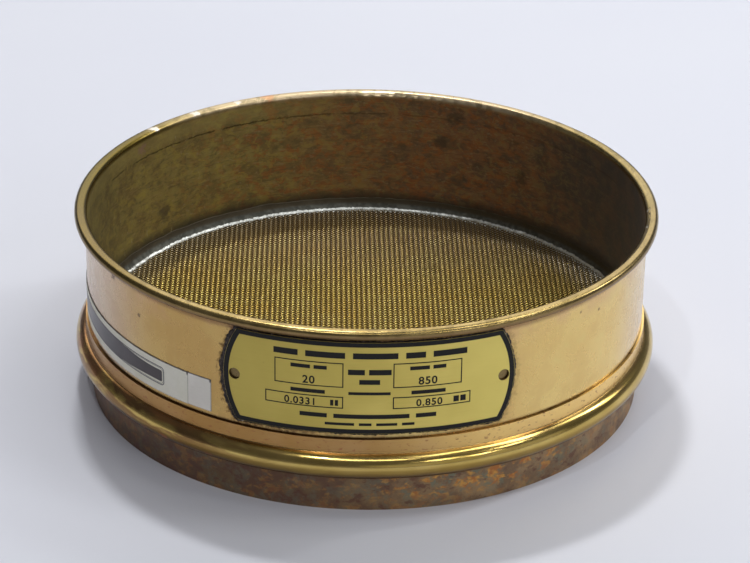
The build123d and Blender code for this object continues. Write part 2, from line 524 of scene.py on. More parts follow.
def print_numbers():
    """The plain numbers in the boxes."""
    points = []
    faces = []
    upper = (box_inner + upper_box[0]) / 2
    lower = (box_inner + lower_box[0]) / 2
    entries = (
        ("20", -upper, 1.0 * mm, 3.0 * mm),
        ("850", upper, 1.0 * mm, 3.0 * mm),
        ("0.0331", -lower - 1.2 * mm, -7.2 * mm, 2.75 * mm),
        ("0.850", lower - 1.0 * mm, -7.2 * mm, 2.75 * mm),
    )
    for text, arc, low_z, height in entries:
        flat, triangles = numeral_mesh(text, height)
        rim_edges = outline_edges(triangles)
        count = len(flat)
        start = len(points)
        for radius in (plate_radius - print_sink, plate_radius + print_rise):
            for x, z in flat:
                points.append(over_curve(arc + print_shift + x, plate_middle + low_z + z, radius))
        for face in triangles:
            faces.append(tuple(start + count + v for v in face))
            faces.append(tuple(start + v for v in reversed(face)))
        for a, b in rim_edges:
            faces.append((start + a, start + b, start + count + b, start + count + a))
    return make_piece("print_numbers", points, faces, smooth=False)


def outline_edges(faces):
    """The edges that only one face uses, in that face's direction."""
    seen = set()
    for face in faces:
        for a, b in zip(face, face[1:] + face[:1]):
            if (b, a) in seen:
                seen.remove((b, a))
            else:
                seen.add((a, b))
    return seen


# ======== paper print ========

def smooth_step(value, low, high):
    """0 below low, 1 above high and smooth between them."""
    share = min(1, max(0, (value - low) / (high - low)))
    return share * share * (3 - 2 * share)


def rounded_half(half, corner, reach):
    """Half the height of a shape with a rounded end, this far in from its end."""
    if reach < corner:
        half -= corner - sqrt(max(0, corner ** 2 - (corner - reach) ** 2))
    return half


def field_half(reach):
    """Half the height of the strip's dark field, which is narrow at its ends."""
    half = field_narrow + (field_wide - field_narrow) * smooth_step(reach, 4 * mm, 32 * mm)
    return rounded_half(half, 0.6 * mm, reach)


def strip_line(arc):
    """Height of the middle of the print this far along the curve, to the left of the nameplate."""
    middle = strip_start + strip_length / 2
    return strip_middle - (arc - middle) * sin(strip_tilt) + 0.2 * mm


def window_columns(grow, half):
    """Columns (arc, low z, high z) of a form this much longer at each end, half(reach) high each way."""
    length = window_length + 2 * grow
    reaches = [k * end_step for k in range(16)]
    reaches += list(np.arange(reaches[-1] + long_step, length / 2, long_step))
    columns = []
    for along in reaches + [length - reach for reach in reversed(reaches)]:
        arc = window_start - grow + along
        height = half(min(along, length - along))
        columns.append((-arc, strip_line(arc) - height, strip_line(arc) + height))
    return columns


def paper_window():
    """The dark glossy field of the newer strip."""
    points = []
    faces = []
    add_ribbon(points, faces, window_columns(0, field_half), paper_radius, paper_radius + print_rise)
    return make_piece("paper_window", points, faces, smooth=False)


def paper_outline():
    """The two fine lines round the window."""
    points = []
    faces = []
    top = paper_radius + print_rise
    outlines = ((1.05 * mm, 0.28 * mm, outline_half), (0.62 * mm, 0.14 * mm, outline_half - 0.5 * mm))
    for grow, width, half in outlines:
        loops = []
        for inset in (width, 0):
            corner = 1.5 * mm - inset
            columns = window_columns(grow - inset, lambda reach: rounded_half(half - inset, corner, reach))
            upper = [(arc, high) for arc, low, high in columns]
            lower = [(arc, low) for arc, low, high in columns]
            loops.append(upper + lower[::-1])
        inner, outer = loops
        faces += ring_faces(4, len(inner), len(points))
        for outline, radius in ((outer, paper_radius), (outer, top), (inner, top), (inner, paper_radius)):
            for arc, z in outline:
                points.append(over_curve(arc, z, radius))
    return make_piece("paper_outline", points, faces, smooth=False)


# ======== finishes ========

class Finish:
    """A procedural material, with short calls for the nodes that the finishes share."""

    def __init__(self, name, roughness, metallic, **constants):
        """A material of this name, with the measures its nodes share, in millimetres."""
        self.material = bpy.data.materials.new(name)
        self.material.use_nodes = True
        self.tree = self.material.node_tree
        self.surface = self.tree.nodes["Principled BSDF"]
        self.surface.inputs["Roughness"].default_value = roughness
        self.surface.inputs["Metallic"].default_value = metallic
        for key, value in constants.items():
            self.surface.inputs[key.replace("_", " ").title()].default_value = value
        self.place = self.node("ShaderNodeTexCoord").outputs["Object"]
        self.mm = self.vector("SCALE", self.place, scale=1000)
        parts = self.node("ShaderNodeSeparateXYZ")
        self.feed(parts.inputs[0], self.mm)
        self.x, self.y, self.z = parts.outputs
        self.radius = self.distance(self.x, self.y)
        self.turn = self.math("ARCTAN2", self.x, self.math("MULTIPLY", self.y, -1))
        self.arc = self.math("MULTIPLY", self.turn, shell_radius / mm)

    def node(self, kind, **settings):
        """A new shader node with these settings."""
        made = self.tree.nodes.new(kind)
        for key, value in settings.items():
            setattr(made, key, value)
        return made

    def feed(self, socket, value):
        """Gives a socket a link, a colour or a number."""
        if isinstance(value, bpy.types.NodeSocket):
            self.tree.links.new(value, socket)
        elif socket.type == "RGBA":
            socket.default_value = (*value, 1)
        else:
            socket.default_value = value

    def math(self, operation, first, second=0.0):
        """One sum with one or two numbers."""
        made = self.node("ShaderNodeMath", operation=operation)
        self.feed(made.inputs[0], first)
        self.feed(made.inputs[1], second)
        return made.outputs[0]

    def times(self, *values):
        """The product of any number of values."""
        result = values[0]
        for value in values[1:]:
            result = self.math("MULTIPLY", result, value)
        return result

    def distance(self, across, along):
        """How far apart two places are that differ by this much each way."""
        return self.math("SQRT", self.math("ADD", self.times(across, across), self.times(along, along)))

    def sway(self, value, unevenness, reach):
        """The value, shifted by up to half this reach either way as a noise goes from 0 to 1."""
        return self.math("ADD", value, self.times(self.math("SUBTRACT", unevenness, 0.5), reach))

    def vector(self, operation, first, second=(0, 0, 0), scale=1.0):
        """One sum with one or two vectors."""
        made = self.node("ShaderNodeVectorMath", operation=operation)
        self.feed(made.inputs[0], first)
        self.feed(made.inputs[1], second)
        self.feed(made.inputs[3], scale)
        return made.outputs[0]

    def noise(self, wavelength, detail=3.0, stretch=(1, 1, 1), roughness=0.55, distortion=0.0, shift=0.0):
        """Noise from 0 to 1 with blobs of about this many millimetres, longer where stretch is larger."""
        scaled = self.vector("MULTIPLY", self.mm, [1 / (wavelength * s) for s in stretch])
        moved = self.vector("ADD", scaled, (shift, shift * 0.7, shift * 0.3))
        made = self.node("ShaderNodeTexNoise")
        self.feed(made.inputs["Vector"], moved)
        settings = {"Scale": 1.0, "Detail": detail, "Roughness": roughness, "Distortion": distortion}
        for name, value in settings.items():
            self.feed(made.inputs[name], value)
        return made.outputs[0]

    def ramp(self, value, low, high):
        """0 below low, 1 above high and smooth between them. Low may be the larger."""
        made = self.node("ShaderNodeMapRange", interpolation_type="SMOOTHSTEP")
        ends = (1, 0) if low > high else (0, 1)
        for socket, number in zip(made.inputs[:5], (value, min(low, high), max(low, high), *ends)):
            self.feed(socket, number)
        return made.outputs[0]

    def window(self, value, low, high, soft):
        """1 between low and high, 0 outside, with soft edges."""
        above = self.ramp(value, low - soft, low + soft)
        return self.times(above, self.ramp(value, high + soft, high - soft))

    def mix(self, factor, first, second):
        """A colour between two others."""
        made = self.node("ShaderNodeMix", data_type="RGBA")
        self.feed(made.inputs[0], factor)
        self.feed(made.inputs[6], first)
        self.feed(made.inputs[7], second)
        return made.outputs[2]

    def over(self, base, colour, strength, *masks):
        """The base with a colour laid over it, as strong as this where every mask is 1."""
        return self.mix(self.times(*masks, strength), base, colour)

    def layers(self, base, *coats):
        """The base with each coat (colour, strength, masks) laid over it in turn."""
        for coat in coats:
            base = self.over(base, *coat)
        return base

    def blend(self, factor, first, second):
        """A number between two others."""
        made = self.node("ShaderNodeMix", data_type="FLOAT")
        self.feed(made.inputs[0], factor)
        self.feed(made.inputs[2], first)
        self.feed(made.inputs[3], second)
        return made.outputs[0]

    def spot(self, x, y, z, size):
        """1 within this many millimetres of a place, fading over as much again, with a ragged edge."""
        apart = self.node("ShaderNodeVectorMath", operation="DISTANCE")
        self.feed(apart.inputs[0], self.mm)
        self.feed(apart.inputs[1], (x, y, z))
        crumbs = self.noise(0.7 * size, 5, stretch=(1.6, 1.6, 1), shift=x)
        return self.ramp(self.sway(apart.outputs["Value"], crumbs, 4 * size), 1.6 * size, 0.5 * size)

    def marked(self, base, colour, strength, marks):
        """The base with a spot of this colour at each mark (x, y, z, size)."""
        for mark in marks:
            base = self.over(base, colour, strength, self.spot(*mark))
        return base

    def bump(self, height, distance, normal=None):
        """Relief: height from 0 to 1 stands this many millimetres."""
        made = self.node("ShaderNodeBump")
        self.feed(made.inputs["Distance"], distance * mm)
        self.feed(made.inputs["Height"], height)
        if normal is not None:
            self.feed(made.inputs["Normal"], normal)
        return made.outputs[0]

    def show(self, colour, roughness, normal=None, metallic=None):
        """The finished material, with what its surface shows."""
        looks = {"Base Color": colour, "Roughness": roughness, "Normal": normal, "Metallic": metallic}
        for name, value in looks.items():
            if value is not None:
                self.feed(self.surface.inputs[name], value)
        return self.material


def outer_brass(f, cloud):
    """The shell's outside: polished, with clouds, scratches and dark marks, painted shade at the left, a
    painted highlight at the right and painted reflections of the pale floor at both edges.
    """
    broad = f.noise(30, 3)
    upright = f.noise(3.2, 3, stretch=(1, 1, 14))
    scratch = f.noise(0.35, 2, stretch=(30, 30, 1), shift=5)
    fleck = f.noise(1.3, 4, shift=7)
    pink = f.times(f.ramp(f.z, 56, 64), f.ramp(f.noise(14, 3, shift=61), 0.35, 0.6))
    outer = f.layers(
        f.mix(f.ramp(broad, 0.38, 0.62), (0.66, 0.43, 0.155), (0.76, 0.55, 0.21)),
        ((0.60, 0.37, 0.15), 0.45, f.ramp(cloud, 0.5, 0.72)),
        ((0.66, 0.56, 0.21), 0.4, f.ramp(cloud, 0.42, 0.3)),
        ((0.84, 0.65, 0.30), 0.16, f.ramp(upright, 0.5, 0.8)),
        ((0.88, 0.74, 0.45), 0.25, f.ramp(scratch, 0.68, 0.78)),
        ((0.36, 0.20, 0.10), 0.55, f.ramp(fleck, 0.67, 0.75)),
        # painted shade on the left of the body and a painted highlight on its right
        ((0.48, 0.30, 0.10), 0.6, f.ramp(f.x, -15, -60)),
        ((0.90, 0.67, 0.25), 0.5, f.ramp(f.x, 30, 60)),
        ((0.62, 0.36, 0.24), 0.35, pink),
        # painted reflections of the pale floor along the far left and far right edges
        ((0.66, 0.57, 0.54), 0.55, f.ramp(f.x, -72, -100)),
        ((0.80, 0.72, 0.66), 0.35, f.ramp(f.x, 85, 101)),
    )
    return f.marked(outer, (0.10, 0.06, 0.045), 0.75, body_marks)


def inner_tarnish(f, blotch):
    """The shell's inside: mottled, olive at the left and umber at the right, painted lighter at the left as
    lit and darker at the right as in shade, with painted shade at the foot.
    """
    right = f.ramp(f.x, -55, 45)
    stain = f.noise(8, 6, shift=11, distortion=0.3, roughness=0.62)
    grain = f.noise(1.2, 4, stretch=(1.5, 1.5, 0.8), shift=23)
    smoke = f.noise(5, 5, stretch=(2.5, 2.5, 1), shift=71, roughness=0.6)
    streak = f.noise(1.3, 5, stretch=(4, 4, 0.8), shift=83, distortion=0.8)
    lichen = f.noise(3.4, 7, stretch=(1.4, 1.4, 1), shift=43, distortion=0.8, roughness=0.65)
    nick = f.noise(1.6, 3, stretch=(1, 1, 3.5), shift=97)
    olive = f.mix(f.ramp(stain, 0.38, 0.62), (0.37, 0.30, 0.095), (0.27, 0.20, 0.07))
    umber = f.mix(f.ramp(stain, 0.40, 0.60), (0.30, 0.16, 0.078), (0.165, 0.12, 0.082))
    pale_lichen = f.mix(right, (0.50, 0.40, 0.09), (0.34, 0.25, 0.10))
    dark_lichen = f.mix(right, (0.13, 0.12, 0.055), (0.09, 0.085, 0.06))
    orange = f.times(f.ramp(blotch, 0.48, 0.60), f.window(f.x, -60, 68, 30))
    high = f.ramp(f.z, wear_height - 0.5, wear_height + 3.5)
    low = f.ramp(f.sway(f.z, stain, 5), solder_shade + 2.5, solder_shade - 2.5)
    wander = f.sway(f.z, f.noise(2.2, 4, shift=67), 1.6)
    worn = f.window(wander, wear_height - 0.3, wear_height + 0.3, 0.2)
    wear_line = f.times(worn, f.ramp(f.y, 15, 45), f.ramp(f.noise(7, 2, shift=5), 0.35, 0.5))
    inner = f.layers(
        # olive tarnish at the left and umber at the right, the left painted lighter as lit and the right
        # painted darker as in shade
        f.mix(right, olive, umber),
        ((0.34, 0.17, 0.08), 0.3, f.window(f.x, -30, 60, 20)),
        ((0.42, 0.155, 0.05), 0.7, orange),
        ((0.11, 0.095, 0.06), f.blend(right, 0.2, 0.45), f.ramp(smoke, 0.46, 0.36)),
        ((0.13, 0.11, 0.055), 0.4, f.ramp(streak, 0.48, 0.36)),
        ((0.46, 0.34, 0.16), 0.35, f.ramp(streak, 0.56, 0.70)),
        (pale_lichen, 0.45, f.ramp(lichen, 0.52, 0.61)),
        (dark_lichen, 0.42, f.ramp(lichen, 0.46, 0.37)),
        ((0.44, 0.35, 0.19), 0.35, f.ramp(grain, 0.58, 0.70)),
        ((0.46, 0.37, 0.13), 0.45, high, f.ramp(f.x, 0, -60)),
        # painted shade on the far right of the inside wall
        ((0.13, 0.125, 0.125), 0.7, f.ramp(f.x, 60, 100)),
        # painted shade at the foot of the wall, in the corner above the solder
        ((0.045, 0.042, 0.032), 0.8, low),
        ((0.045, 0.032, 0.012), f.blend(right, 0.8, 0.25), wear_line),
        ((0.13, 0.125, 0.06), 0.35, f.ramp(f.x, -88, -100)),
        ((0.52, 0.47, 0.30), 0.5, f.ramp(nick, 0.68, 0.76), f.ramp(f.x, -30, -80)),
    )
    inner = f.marked(inner, (0.08, 0.065, 0.045), 0.65, wall_stains)
    return f.over(inner, (0.42, 0.24, 0.20), 0.6, f.spot(*wall_smear))


def rim_brass(f, outside, far_rim):
    """The rolled rim: worn and smeared, with a painted highlight at the far side and painted shade at the
    sides, the left, the front, the inner flank and the outer side of the roll.
    """
    cloud = f.noise(9, 4, shift=31, distortion=0.4)
    small = f.noise(1.6, 4, shift=37)
    smear = f.noise(5, 5, stretch=(1, 2.5, 1), shift=91, distortion=0.8)
    # masks for painted shade on the inner flank at the far side and on the outer side of the roll
    flank = f.times(f.ramp(f.radius, wall_outer + 0.5, wall_outer - 0.2), f.ramp(f.y, 60, 30))
    rim_side = f.times(outside, f.ramp(f.z, rim_height - 0.7, rim_height - 2.0))
    rim = f.layers(
        f.mix(f.ramp(cloud, 0.35, 0.65), (0.36, 0.27, 0.09), (0.52, 0.39, 0.15)),
        ((0.30, 0.20, 0.08), 0.5, f.ramp(small, 0.56, 0.68)),
        # painted highlight on the far side of the rim
        ((0.66, 0.53, 0.35), 0.8, far_rim),
        # painted shade at both sides of the rim and, deeper, at the left
        ((0.26, 0.20, 0.09), 0.5, f.ramp(f.math("ABSOLUTE", f.x), 60, 100)),
        ((0.14, 0.10, 0.008), 0.92, f.ramp(f.x, -60, -95)),
        ((0.13, 0.095, 0.03), 0.45, f.ramp(smear, 0.50, 0.38)),
        # painted shade at the front of the rim, on the inner flank at the far side and on the outer side of
        # the roll
        ((0.28, 0.19, 0.075), 0.35, f.ramp(f.y, 20, -40)),
        ((0.16, 0.12, 0.035), 0.5, flank),
        ((0.24, 0.15, 0.07), 0.8, rim_side),
    )
    # pale spots on the rim
    rim = f.marked(rim, (0.86, 0.80, 0.72), 0.8, rim_pale_spots)
    return f.over(rim, (0.75, 0.36, 0.18), 0.6, f.spot(*rim_smear))


def shell_brass():
    """Polished brass outside and on the rim, dark tarnish inside, dirt round the nameplate; painted light
    and shade on the outside, the rim and the inside, painted shade under the rim and a painted shadow in
    the gap above the collar.
    """
    f = Finish("shell_brass", 0.3, 1.0)
    below_rim = f.ramp(f.z, rim_height - 0.9, rim_height - 3.0)
    inside = f.times(f.ramp(f.radius, wall_outer - 0.05, wall_inner + 0.1), below_rim)
    roll = f.ramp(f.z, roll_foot - 0.2, roll_foot + 0.2)
    outside = f.ramp(f.radius, wall_outer - 0.2, wall_outer - 0.05)
    # the far side of the rim: the mask of its painted highlight and its rougher finish
    far_rim = f.ramp(f.y, 55, 95)
    cloud = f.noise(8, 4, shift=3, distortion=0.5)
    blotch = f.noise(2.8, 6, stretch=(1.6, 1.6, 1), shift=19, distortion=0.4, roughness=0.62)
    colour = f.mix(roll, outer_brass(f, cloud), rim_brass(f, outside, far_rim))
    colour = f.mix(inside, colour, inner_tarnish(f, blotch))

    left_side = f.ramp(f.x, 10, -40)
    halo = f.ramp(f.sway(plate_distance(f), f.noise(1.5, 4, shift=41), 6), 2.6, 0.4)
    hole_side = f.math("SUBTRACT", f.math("ABSOLUTE", f.arc), hole_reach / mm)
    hole_up = f.math("SUBTRACT", f.z, plate_middle / mm)
    under_rim = f.window(f.z, roll_foot - 2.7, roll_foot + 0.9, 0.9)
    seam = f.ramp(f.z, collar_top / mm + 1.4, collar_top / mm + 0.1)
    colour = f.layers(
        colour,
        ((0.085, 0.045, 0.022), f.blend(left_side, 0.30, 0.9), halo, outside),
        ((0.20, 0.145, 0.065), 0.9, f.ramp(f.distance(hole_side, hole_up), 2.6, 2.2)),
        # painted shade on the body under the rolled rim
        ((0.19, 0.10, 0.06), 0.62, under_rim, outside),
        # painted shadow in the gap above the collar
        ((0.09, 0.055, 0.035), 0.85, seam, outside),
    )

    rough_out = f.blend(f.ramp(cloud, 0.3, 0.7), 0.22, 0.32)
    rough = f.blend(roll, rough_out, f.blend(far_rim, 0.27, 0.34))
    rough = f.blend(inside, rough, 0.5)
    body = f.times(f.math("SUBTRACT", 1.0, roll), outside)
    wall = f.times(inside, f.ramp(f.z, roll_foot, roll_foot - 2.5))
    relief = f.bump(f.times(f.noise(26, 2, stretch=(1, 1, 3), shift=2), body), 0.12)
    relief = f.bump(f.times(f.noise(0.6, 2, stretch=(1, 1, 30), shift=9), body), 0.003, relief)
    relief = f.bump(f.times(blotch, wall), 0.05, relief)
    return f.show(colour, rough, relief, f.blend(inside, 1.0, 0.55))


def plate_distance(f):
    """Roughly how far a point of the shell is outside the nameplate's edge, in millimetres."""
    centre, radius = end_circle()
    up = f.math("ABSOLUTE", f.math("SUBTRACT", f.z, plate_middle / mm))
    over = f.math("SUBTRACT", up, plate_half / mm)
    side = f.math("SUBTRACT", f.math("ABSOLUTE", f.x), centre / mm)
    beyond = f.math("SUBTRACT", f.distance(side, up), radius / mm)
    behind = f.times(f.ramp(f.y, 0, 20), 99)
    return f.math("ADD", f.math("MAXIMUM", over, beyond), behind)


def bead_brass(f, left, broad, turned_line):
    """The bead: bright and yellow, with brown patina, darker towards its lower side, and flames of orange
    at the left.
    """
    patina = f.noise(7, 4, stretch=(2.5, 2.5, 0.5), shift=24, distortion=0.5)
    low = f.ramp(f.sway(f.z, patina, 4), bead_shoulder - 0.5, skirt_top + 0.9)
    tongue = f.ramp(f.noise(3, 5, stretch=(2, 2, 0.7), shift=57), 0.52, 0.62)
    flame_height = f.window(f.z, skirt_top - 0.4, bead_shoulder - 1.5, 1)
    veil = f.ramp(f.noise(5, 4, stretch=(3, 3, 0.5), shift=77), 0.45, 0.6)
    return f.layers(
        f.mix(f.ramp(broad, 0.35, 0.65), (0.56, 0.40, 0.11), (0.68, 0.50, 0.16)),
        ((0.50, 0.34, 0.13), 0.35, f.ramp(turned_line, 0.5, 0.75)),
        ((0.24, 0.125, 0.055), 0.9, f.ramp(f.x, -20, -70), f.ramp(patina, 0.38, 0.52)),
        ((0.42, 0.25, 0.11), 0.45, f.ramp(patina, 0.55, 0.7)),
        # the bead darker towards the bottom
        ((0.36, 0.22, 0.05), 0.5, f.ramp(f.z, bead_shoulder + 1, bead_shoulder - 1)),
        (f.mix(left, (0.16, 0.09, 0.045), (0.11, 0.05, 0.03)), 0.85, low),
        ((0.66, 0.21, 0.07), 0.8, tongue, left, flame_height),
        ((0.50, 0.22, 0.08), 0.6, veil, left, f.ramp(f.z, bead_shoulder + 1, bead_shoulder + 3)),
    )


def skirt_oxide(f, left, rust):
    """The skirt: soot, rust and ochre, with green at the right of the front, painted lighter towards the
    right and painted shade at the left.
    """
    verdigris = f.noise(6, 8, shift=27, distortion=0.4, roughness=0.68)
    soot = f.noise(9, 7, shift=33, roughness=0.65)
    place = f.times(f.window(f.x, 8, 68, 14), f.ramp(f.z, 2.5, 7))
    # the skirt painted lighter towards the right, as lit, and darker towards the left, as in shade
    skirt_lit_right = f.ramp(f.x, -39, 57)
    grime_and_shade = f.mix(skirt_lit_right, (0.19, 0.10, 0.06), (0.26, 0.165, 0.09))
    dust_and_light = f.mix(skirt_lit_right, (0.23, 0.145, 0.07), (0.42, 0.28, 0.145))
    ochre = f.mix(f.ramp(f.noise(2.2, 4, shift=87), 0.4, 0.6), (0.55, 0.20, 0.05), (0.76, 0.40, 0.085))
    return f.layers(
        f.mix(f.ramp(soot, 0.4, 0.62), grime_and_shade, dust_and_light),
        ((0.21, 0.24, 0.17), f.blend(place, 0.3, 0.75), f.ramp(verdigris, 0.50, 0.60)),
        (ochre, f.blend(place, 0.3, 0.9), f.ramp(rust, 0.51, 0.58)),
        ((0.17, 0.065, 0.045), 0.65, f.ramp(rust, 0.45, 0.38)),
        # painted shade on the left of the skirt
        ((0.13, 0.085, 0.065), 0.4, left),
    )


def ring_brass():
    """Polished collar and bead, with painted light and shade on the collar and painted shade in the groove
    and the crease; a skirt with brown, orange and green oxide.
    """
    f = Finish("ring_brass", 0.22, 1.0)
    outside = f.ramp(f.radius, skirt_face - 0.3, skirt_face - 0.1)
    within = f.math("SUBTRACT", 1.0, outside)
    skirt = f.times(f.ramp(f.z, skirt_top + 0.7, skirt_top - 0.7), outside)
    collar = f.ramp(f.z, collar_foot - 0.5, collar_foot + 0.5)
    left = f.ramp(f.x, -30, -85)
    broad = f.noise(22, 3, shift=4)
    turned_line = f.noise(0.6, 3, stretch=(40, 40, 1))
    fleck = f.noise(1.3, 4, stretch=(1.6, 1.6, 0.8), shift=8)
    rust = f.noise(5, 8, stretch=(1.3, 1.3, 0.8), shift=15, distortion=0.25, roughness=0.68)
    band = f.layers(
        # the collar painted dark at the left as shaded and bright at the right as lit
        f.mix(f.ramp(f.x, -10, 57), (0.44, 0.245, 0.08), (0.94, 0.65, 0.235)),
        ((0.62, 0.40, 0.20), 0.3, f.ramp(broad, 0.4, 0.7)),
        ((0.34, 0.12, 0.06), 0.65, f.ramp(fleck, 0.58, 0.68)),
    )
    colour = f.mix(collar, bead_brass(f, left, broad, turned_line), band)
    colour = f.mix(skirt, colour, skirt_oxide(f, left, rust))
    # painted shade in the crease above the skirt and in the groove under the collar
    crease = f.window(f.z, skirt_top - 1.3, skirt_top + 0.3, 0.5)
    groove = f.window(f.z, collar_foot - 0.4, collar_foot + 0.2, 0.35)
    tarnish = f.mix(f.ramp(f.noise(8, 4, shift=51), 0.35, 0.65), (0.26, 0.17, 0.07), (0.38, 0.26, 0.10))
    colour = f.layers(colour, ((0.13, 0.08, 0.05), 0.5, crease, outside),
                      ((0.24, 0.11, 0.035), 0.5, groove, outside), (tarnish, 1.0, within))

    rough = f.blend(f.ramp(turned_line, 0.3, 0.8), 0.15, 0.24)
    rough = f.blend(collar, rough, 0.28)
    rough = f.blend(f.math("MAXIMUM", skirt, within), rough, 0.5)
    relief = f.bump(f.noise(14, 2, shift=6), 0.05)
    relief = f.bump(turned_line, 0.006, relief)
    relief = f.bump(f.times(rust, skirt), 0.10, relief)
    return f.show(colour, rough, relief, f.blend(skirt, 1.0, 0.5))


def cloth_wire(name, dull, bright):
    """Golden crowns and brown valleys of painted shade, tinned silver where the solder wicked in."""
    f = Finish(name, 0.33, 0.85)
    tone = f.noise(16, 3, shift=3)
    small = f.noise(2.4, 2, shift=13)
    gold = f.mix(f.ramp(tone, 0.35, 0.65), dull, bright)
    gold = f.over(gold, (0.50, 0.34, 0.13), 0.25, f.ramp(small, 0.55, 0.75))
    crown = f.ramp(f.z, cloth_height / mm + 0.18, cloth_top / mm - 0.09)
    wick = f.sway(f.radius, f.noise(4, 3, shift=9), 4)
    gold = f.over(gold, f.mix(0.5, gold, (0.72, 0.62, 0.66)), 0.65, f.ramp(f.y, 20, 80))
    gold = f.layers(gold, ((0.60, 0.57, 0.52), 0.6, f.ramp(wick, 82, 96)),
                    ((0.66, 0.67, 0.62), 0.9, f.ramp(wick, 96.2, 98.6)))
    # painted shade in the valleys between the crowns
    colour = f.mix(crown, (0.21, 0.135, 0.03), gold)
    return f.show(colour, f.blend(crown, 0.5, 0.38))


def solder():
    """Dull grey solder, bright at the toe where it is thin, with a painted highlight along the toe."""
    f = Finish("solder", 0.4, 0.95)
    height = f.ramp(f.z, cloth_top / mm, solder_top / mm - 1.2)
    mottle = f.noise(2.2, 5, shift=2)
    colour = f.mix(f.ramp(mottle, 0.35, 0.65), (0.09, 0.092, 0.078), (0.15, 0.152, 0.13))
    colour = f.mix(f.ramp(height, 0.55, 1.0), colour, (0.10, 0.085, 0.058))
    grit = f.noise(1.1, 3, shift=19)
    # the toe's thin solder, brightened with a painted highlight
    toe = f.ramp(f.sway(height, f.blend(0.5, mottle, grit), 0.5), 0.15, 0.03)
    colour = f.mix(toe, colour, (0.84, 0.86, 0.81))
    under = f.ramp(f.z, cloth_bottom / mm, cloth_bottom / mm - 0.5)
    colour = f.mix(under, colour, (0.13, 0.13, 0.115))
    relief = f.bump(f.noise(1.6, 4, shift=5), 0.06)
    return f.show(colour, f.blend(toe, 0.58, 0.45), relief)


def plate_brass():
    """Yellow lacquered brass with bare, dull edges, painted shade at the left and a painted reflection at
    the right.
    """
    f = Finish("plate_brass", 0.38, 0.55)
    cloud = f.noise(30, 3, shift=6)
    grain = f.noise(0.8, 2, stretch=(16, 16, 1), shift=2)
    spot = f.noise(2.1, 4, shift=21)
    face = f.layers(
        f.mix(f.ramp(cloud, 0.35, 0.65), (0.66, 0.52, 0.115), (0.76, 0.61, 0.15)),
        ((0.58, 0.45, 0.10), 0.25, f.ramp(grain, 0.5, 0.8)),
        ((0.25, 0.17, 0.05), 0.6, f.ramp(spot, 0.70, 0.78)),
        # painted shade on the left of the plate and a painted reflection on its right
        ((0.48, 0.37, 0.075), 0.65, f.ramp(f.x, 20, -45)),
        ((0.88, 0.73, 0.19), 0.6, f.ramp(f.x, 15, 45)),
    )
    edge = f.ramp(f.radius, plate_radius / mm - 0.03, plate_radius / mm - 0.12)
    colour = f.mix(edge, face, (0.20, 0.13, 0.06))
    return f.show(colour, f.blend(f.ramp(grain, 0.3, 0.7), 0.34, 0.42), f.bump(grain, 0.006))


def plate_dirt():
    """Grey solder and black dirt round the plate."""
    f = Finish("plate_solder", 0.6, 0.4)
    speck = f.noise(0.9, 4, shift=4)
    patch = f.noise(5, 3, shift=14)
    colour = f.mix(f.ramp(speck, 0.4, 0.6), (0.022, 0.016, 0.013), (0.075, 0.055, 0.045))
    colour = f.over(colour, (0.55, 0.50, 0.45), f.ramp(patch, 0.5, 0.62), f.ramp(speck, 0.60, 0.68))
    return f.show(colour, 0.6, f.bump(speck, 0.15))


def enamel(name, colour, roughness):
    """Black print with a little wear."""
    f = Finish(name, roughness, 0.0)
    wear = f.noise(0.9, 4, shift=12)
    tone = f.mix(f.times(f.ramp(wear, 0.68, 0.80), 0.35), colour, (0.10, 0.08, 0.045))
    f.surface.inputs["Specular IOR Level"].default_value = 0.2
    return f.show(tone, roughness, f.bump(f.noise(3, 2), 0.01))


def paper(name, first, second, end):
    """Aged paper with fibres and faint stains, a dark line along the top edge, darker along the bottom
    edge, and a painted shadow along its end.
    """
    f = Finish(name, 0.72, 0.0)
    stain = f.noise(9, 4, shift=3)
    fibre = f.noise(0.6, 3, stretch=(3, 3, 1), shift=8)
    speck = f.noise(1.1, 4, shift=18)
    from_middle = f.math("ADD", f.arc, (strip_start + strip_length / 2) / mm)
    line = f.math("ADD", f.times(from_middle, sin(strip_tilt)), strip_middle / mm)
    up = f.math("SUBTRACT", f.z, line)
    edge = f.sway(up, f.noise(2.5, 3, shift=28), 0.5)
    half = strip_half / mm
    along = f.math("ADD", f.arc, end / mm)
    corner = f.ramp(edge, half - 1.6, half - 0.6)
    colour = f.layers(
        f.mix(f.ramp(stain, 0.35, 0.65), first, second),
        ((0.70, 0.67, 0.60), 0.25, f.ramp(fibre, 0.55, 0.75)),
        ((0.25, 0.22, 0.19), 0.5, f.ramp(speck, 0.70, 0.76)),
        # a dark line along the top edge and a darker bottom edge
        ((0.10, 0.07, 0.05), 0.9, f.ramp(edge, half - 0.45, half - 0.1)),
        ((0.26, 0.21, 0.15), 0.35, f.ramp(edge, 0.5 - half, 0.1 - half)),
        ((0.045, 0.03, 0.025), 1.0, f.ramp(along, -1.1, -0.3), corner),
        # painted shadow along the end of the strip
        ((0.20, 0.18, 0.15), 0.55, f.ramp(along, -0.45, -0.15)),
    )
    return f.show(colour, 0.72, f.bump(fibre, 0.01))


def window_print():
    """Glossy dark print."""
    f = Finish("window_print", 0.28, 0.0, coat_weight=0.1, coat_roughness=0.15)
    tone = f.mix(f.ramp(f.noise(8, 3, shift=2), 0.35, 0.65), (0.038, 0.025, 0.026), (0.052, 0.034, 0.036))
    return f.show(tone, 0.28, f.bump(f.noise(5, 2), 0.01))


def floor_finish():
    """Plain, pale and dull."""
    f = Finish("floor", 0.6, 0.0)
    tone = f.mix(f.ramp(f.noise(300, 2), 0.3, 0.7), (0.69, 0.71, 0.79), (0.71, 0.73, 0.80))
    return f.show(tone, 0.6)


